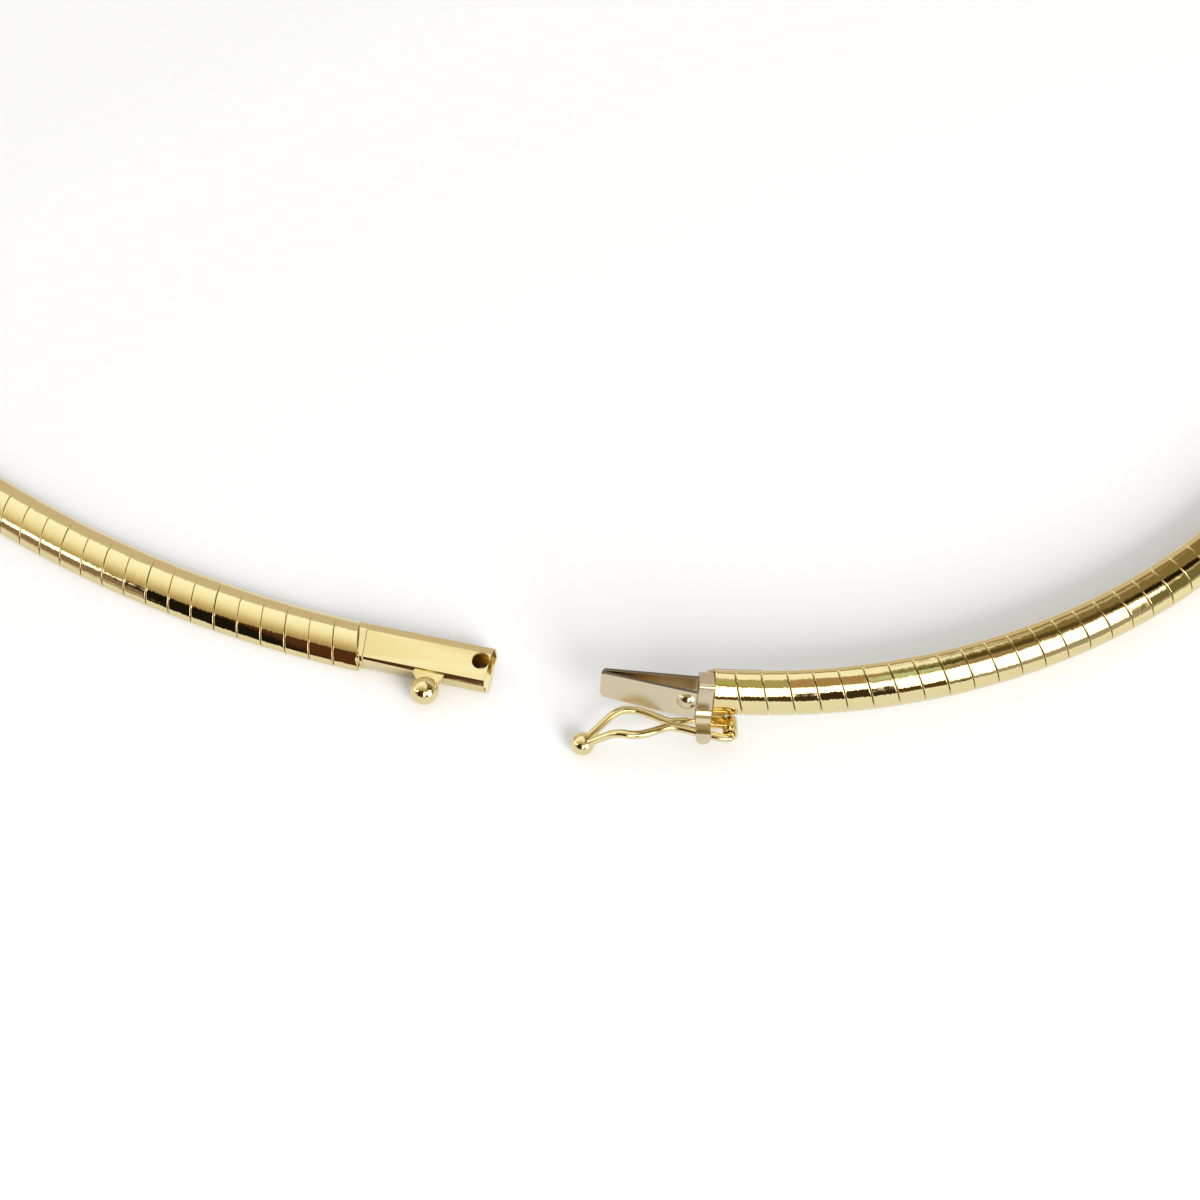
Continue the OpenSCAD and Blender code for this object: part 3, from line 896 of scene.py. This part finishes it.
# What stands in front of them: from left, to right (1 is due right), from and to degrees, blurs, colour
PANES = [
    (-1.00, 1.00, -90, 2, 0.01, 1, (0.42, 0.39, 0.37)),
    (0.62, 1.00, -90, -40, 0.03, 4, (1.0, 1.04, 1.0)),
    (0.13, 0.43, 74, 122, 0.03, 2, (1.1, 1.17, 1.2)),
    (0.14, 0.36, 121, 137, 0.04, 4, (0.38, 0.30, 0.18)),
    (0.28, 0.50, 113, 128, 0.04, 4, (0.28, 0.22, 0.11)),
    (0.33, 0.42, 99, 117, 0.03, 5, (0.55, 0.49, 0.35)),
    (0.44, 1.00, 84, 132, 0.05, 4, (0.25, 0.20, 0.10)),
    (0.39, 0.50, 66, 84, 0.02, 3, (0.27, 0.27, 0.14)),
    (0.46, 0.78, 69, 87, 0.03, 4, (0.10, 0.08, 0.03)),
    (0.05, 0.21, 36, 49, 0.02, 2, (0.30, 0.22, 0.08)),
    (0.05, 0.22, 49, 64, 0.02, 2, (0.46, 0.52, 0.22)),
    (0.21, 0.29, 49, 73, 0.02, 2, (0.44, 0.45, 0.24)),
    (0.28, 0.41, 49, 78, 0.02, 3, (0.44, 0.30, 0.16)),
    (0.40, 0.52, 50, 67, 0.02, 2, (0.60, 0.72, 0.55)),
    (0.52, 0.82, 52, 69, 0.02, 3, (0.36, 0.28, 0.19)),
    (0.71, 1.00, 69, 88, 0.03, 3, (0.014, 0.012, 0.006)),
    (-0.03, 0.10, 3, 38, 0.02, 3, (3.0, 3.0, 3.0)),
    (0.08, 0.52, 1, 44, 0.01, 3, (3.0, 3.0, 3.0)),
    (0.50, 0.88, -5, 50, 0.03, 3, (3.0, 3.0, 3.0)),
    (0.70, 0.88, 45, 60, 0.03, 3, (3.0, 3.0, 3.0)),
    (0.88, 1.00, -25, 60, 0.01, 2, (0.20, 0.18, 0.09)),
    (0.02, 0.60, -90, 5, 0.03, 2, (0.10, 0.055, 0.02)),
    (0.14, 0.47, -90, 12, 0.03, 3, (0.08, 0.05, 0.02)),
    (0.29, 0.49, -90, 23, 0.03, 3, (0.05, 0.032, 0.016)),
    (-0.59, -0.09, -90, 56, 0.03, 3, (0.095, 0.037, 0.018)),
    (-0.78, -0.47, -90, 5, 0.03, 2, (0.095, 0.037, 0.018)),
    (-0.73, -0.52, 4, 54, 0.03, 4, (0.010, 0.009, 0.006)),
    (-1.00, -0.72, 12, 46, 0.03, 3, (0.28, 0.21, 0.17)),
    (-0.95, -0.69, 45, 60, 0.04, 2, (3.0, 3.0, 3.0)),
    (-1.00, -0.93, 25, 150, 0.02, 4, (1.7, 1.7, 1.65)),
]


# Even light that the pale table gathers from all sides
SOFT_LIGHT = (0.79, 0.785, 0.775)


def room():
    """Surroundings drawn by direction for the metal, and an even soft light for the table."""
    world = bpy.data.worlds.new("room")
    bpy.context.scene.world = world
    world.use_nodes = True
    tree = world.node_tree
    place = tree.nodes.new("ShaderNodeTexCoord")
    split = tree.nodes.new("ShaderNodeSeparateXYZ")
    tree.links.new(place.outputs["Generated"], split.inputs[0])
    x, y, z = split.outputs
    front = math_node(tree, "MULTIPLY", y, -1.0)
    turn = math_node(tree, "MULTIPLY", math_node(tree, "ARCTAN2", z, front), 180 / math.pi)
    ramp = tree.nodes.new("ShaderNodeValToRGB")
    stops = ramp.color_ramp.elements
    while len(stops) < len(ROOM_STOPS):
        stops.new(0.5)
    for stop, (degrees, colour) in zip(stops, ROOM_STOPS):
        stop.position = degrees / 180
        stop.color = (*colour, 1)
    tree.links.new(math_node(tree, "DIVIDE", turn, 180.0, clamp=True), ramp.inputs[0])
    colour = ramp.outputs["Color"]
    for left, right, low, high, blur_x, blur_turn, pane in PANES:
        masks = [smooth_mask(tree, x, left - blur_x, left),
                 smooth_mask(tree, x, right, right - blur_x),
                 smooth_mask(tree, turn, low - blur_turn, low),
                 smooth_mask(tree, turn, high, high - blur_turn)]
        shown = masks[0]
        for mask in masks[1:]:
            shown = math_node(tree, "MULTIPLY", shown, mask)
        colour = mixed(tree, shown, colour, pane)
    path = tree.nodes.new("ShaderNodeLightPath")
    seen = mixed(tree, path.outputs["Is Glossy Ray"], SOFT_LIGHT, colour)
    background = tree.nodes["Background"]
    tree.links.new(seen, background.inputs["Color"])
    background.inputs["Strength"].default_value = 1.0


AIM_FROM_HINGE = Vector((-9.37, 12.26))
AIM = Vector((HINGE.x + AIM_FROM_HINGE.x, HINGE.y + AIM_FROM_HINGE.y, 0)) * MM
VIEW_ELEVATION = math.radians(56)
VIEW_DISTANCE = 210.5 * MM
LENS = 84

# Floor, and the sheet under the necklace: its front edge before the aim, its corner and its slanted side
FLOOR_HALF = 1.5
SHEET_FRONT = 52 * MM
SHEET_CORNER = 4.9 * MM
SHEET_SLANT = math.radians(52)
SHEET_LIFT = 0.01 * MM


def camera():
    data = bpy.data.cameras.new("camera")
    data.sensor_width = 36
    data.lens = LENS
    data.clip_start = 0.01
    data.clip_end = 10
    view = add_object("camera", data)
    view.location = AIM + VIEW_DISTANCE * Vector((0, -math.cos(VIEW_ELEVATION), math.sin(VIEW_ELEVATION)))
    view.rotation_euler = (math.pi / 2 - VIEW_ELEVATION, 0, 0)
    bpy.context.scene.camera = view


def panel(name, azimuth, elevation, distance, width, height, power):
    """Soft light from a direction: azimuth from the viewer's side towards the right, in degrees."""
    a, e = math.radians(azimuth), math.radians(elevation)
    way = Vector((math.sin(a) * math.cos(e), -math.cos(a) * math.cos(e), math.sin(e)))
    data = bpy.data.lights.new(name, "AREA")
    data.shape = "RECTANGLE"
    data.size = width
    data.size_y = height
    data.energy = power
    light = add_object(name, data)
    light.visible_glossy = False
    light.location = AIM + distance * way
    light.rotation_euler = way.to_track_quat("Z", "Y").to_euler()


def paper(name, dark, light):
    material, tree, surface = shader(name, light, 0, 0.9)
    surface.inputs["Specular IOR Level"].default_value = 0.1
    place = tree.nodes.new("ShaderNodeTexCoord")
    fibres = noise(tree, place, "Object", 900, 3)
    link(tree, tinted(tree, fibres, "Fac", dark, light), "Result", surface, "Base Color")
    return material


def flat_stage(name, corners, height, material):
    mesh = bpy.data.meshes.new(name)
    mesh.from_pydata([(x, y, height) for x, y in corners], [], [list(range(len(corners)))])
    mesh.materials.append(material)
    plane = add_object(name, mesh)
    return plane


def table():
    """White floor, and the sheet on it, which only the metal's mirror images show: a darker, bluer copy
    of the table's white, as painted shade on the table in the metal's reflections.
    """
    size = FLOOR_HALF
    white = paper("floor_white", (0.87, 0.87, 0.865), (0.89, 0.89, 0.89))
    floor = flat_stage("floor", [(-size, -size), (size, -size), (size, size), (-size, size)], 0, white)
    floor.visible_glossy = False
    front = AIM.y - SHEET_FRONT
    corner = AIM.x + SHEET_CORNER
    far_right = corner + (size - front) / math.tan(SHEET_SLANT)
    outline = [(-size, front), (corner, front), (far_right, size), (-size, size)]
    # Darker, bluer paper than the floor's: painted shade on the table as the metal mirrors it
    mirror_shade = paper("mirrored_table_shaded", (0.75, 0.79, 0.84), (0.77, 0.81, 0.86))
    sheet = flat_stage("sheet", outline, SHEET_LIFT, mirror_shade)
    sheet.visible_camera = False
    sheet.visible_diffuse = False
    sheet.visible_shadow = False


gold_plates = plate_gold()
clasp_gold = worked_metal("clasp_gold", GOLD_DEEP, GOLD, 0.07, 0.16, 0.00001, 0.0000008)
tongue_metal = worked_metal("tongue_metal", WHITE_DEEP, WHITE_METAL, 0.16, 0.26, 0.000012, 0.0000012)
# Painted shade for the tongue sheet's cut edges
edge_painted_shade_metal = worked_metal("edge_painted_shade_metal", EDGE_PAINTED_SHADE_DEEP, EDGE_PAINTED_SHADE, 0.25, 0.4, 0.000012, 0.000003)

half_way = PLATES // 2
chain_piece("chain_left", 0, half_way, gold_plates)
chain_piece("chain_right", half_way, PLATES, gold_plates)
strip_piece(weave_gold_painted_shade())
slim_web(rounded_copy("box_shell", "clasp_box", 0.07, clasp_gold))
collar_piece(clasp_gold)
tongue_piece(tongue_metal, edge_painted_shade_metal)
rounded_copy("tube_sleeve", "hinge_tube", 0.06, clasp_gold)
catch_piece(clasp_gold)

room()
table()
camera()
panel("window", azimuth=32, elevation=28, distance=0.6, width=0.30, height=0.36, power=3.4)
bpy.context.scene.view_settings.view_transform = "Standard"
